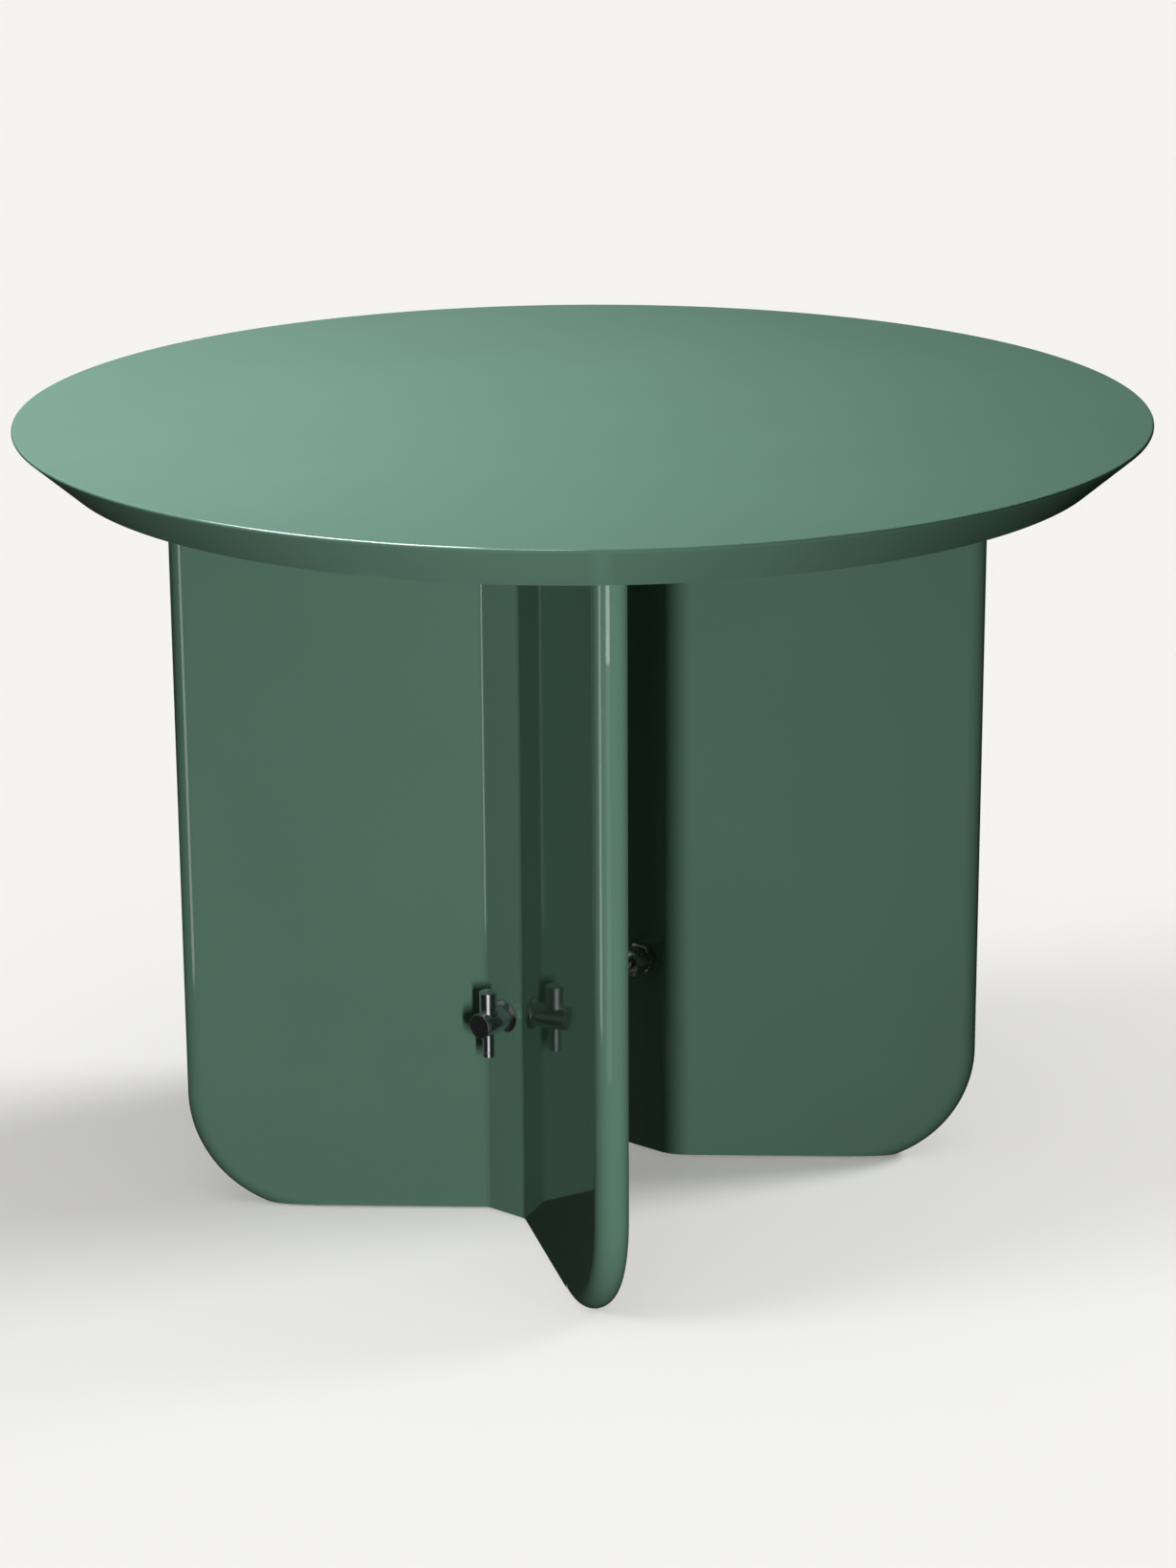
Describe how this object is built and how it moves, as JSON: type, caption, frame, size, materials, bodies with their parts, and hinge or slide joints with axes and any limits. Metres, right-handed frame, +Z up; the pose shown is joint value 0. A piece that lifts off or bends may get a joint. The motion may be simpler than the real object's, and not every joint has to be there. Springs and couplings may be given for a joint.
{
  "type": "drinking fountain",
  "caption": "Round-topped drinking fountain on two bent V-shaped legs back to back, with a self-closing push tap in the crook of each leg and a stop valve between them.",
  "frame": {"origin": "on the floor under the middle of the round top", "axes": "+Z up, -Y is the way the front tap faces, +X to the right seen from the front"},
  "size_m": [1, 1, 0.728],
  "materials": {
    "green_lacquer": "gloss",
    "green_satin": "satin",
    "board": "matte",
    "dark_steel": "satin",
    "bolt_steel": "satin",
    "bare_steel": "satin",
    "black_rubber": "matte",
    "seal_rubber": "matte",
    "tap_chrome": "polished",
    "pipe_chrome": "satin",
    "nickel_brass": "satin",
    "brass": "satin",
    "spring_steel": "satin",
    "white_plastic": "matte",
    "lever_blue": "satin"
  },
  "bodies": {
    "frame": {"front_cross_pipe": "pipe_chrome", "front_leg_back_panel": "green_lacquer", "front_leg_base_bar": "bare_steel", "front_leg_face_panel": "green_lacquer", "front_leg_foot_pads": "black_rubber", "front_leg_head_bar": "bare_steel", "front_leg_ribs": "bare_steel", "front_leg_tap_boss": "bare_steel", "front_tap_backnut": "nickel_brass", "front_tap_body": "tap_chrome", "front_tap_connector": "nickel_brass", "front_tap_end_plug": "tap_chrome", "front_tap_gasket": "seal_rubber", "front_tap_gland": "brass", "front_tap_nozzle": "tap_chrome", "front_tap_rosette": "tap_chrome", "front_tap_spring": "spring_steel", "front_tap_straightener": "white_plastic", "hub_bolts": "bolt_steel", "hub_plate": "dark_steel", "inlet_pipe": "pipe_chrome", "rear_cross_pipe": "pipe_chrome", "rear_leg_back_panel": "green_lacquer", "rear_leg_base_bar": "bare_steel", "rear_leg_face_panel": "green_lacquer", "rear_leg_foot_pads": "black_rubber", "rear_leg_head_bar": "bare_steel", "rear_leg_ribs": "bare_steel", "rear_leg_tap_boss": "bare_steel", "rear_tap_backnut": "nickel_brass", "rear_tap_body": "tap_chrome", "rear_tap_connector": "nickel_brass", "rear_tap_end_plug": "tap_chrome", "rear_tap_gasket": "seal_rubber", "rear_tap_gland": "brass", "rear_tap_nozzle": "tap_chrome", "rear_tap_rosette": "tap_chrome", "rear_tap_spring": "spring_steel", "rear_tap_straightener": "white_plastic", "riser_pipe": "pipe_chrome", "stop_valve_body": "nickel_brass", "stop_valve_nuts": "nickel_brass", "supply_tee": "nickel_brass", "tee_nuts": "nickel_brass", "top_core": "board", "top_inserts": "brass", "top_skin": "green_lacquer", "underside_plate": "green_satin"},
    "front_push": {"front_tap_knob": "tap_chrome", "front_tap_stem": "spring_steel", "front_tap_valve_disc": "seal_rubber"},
    "rear_push": {"rear_tap_knob": "tap_chrome", "rear_tap_stem": "spring_steel", "rear_tap_valve_disc": "seal_rubber"},
    "stop_lever": {"stop_valve_lever": "lever_blue", "stop_valve_spindle": "spring_steel", "stop_valve_ball": "spring_steel", "stop_valve_lever_nut": "spring_steel"}
  },
  "joints": [
    {"name": "front_knob_press", "type": "slide", "parent": "frame", "child": "front_push", "axis": [0, 0, -1], "range_m": [0, 0.004], "stiffness_N_per_m": 1500, "springref_m": -0.004, "deforming": ["front_tap_spring"]},
    {"name": "rear_knob_press", "type": "slide", "parent": "frame", "child": "rear_push", "axis": [0, 0, -1], "range_m": [0, 0.004], "stiffness_N_per_m": 1500, "springref_m": -0.004, "deforming": ["rear_tap_spring"]},
    {"name": "stop_valve_turn", "type": "hinge", "parent": "frame", "child": "stop_lever", "pos_m": [0, 0, 0.076], "axis": [1, 0, 0], "range_deg": [0, 90]}
  ]
}
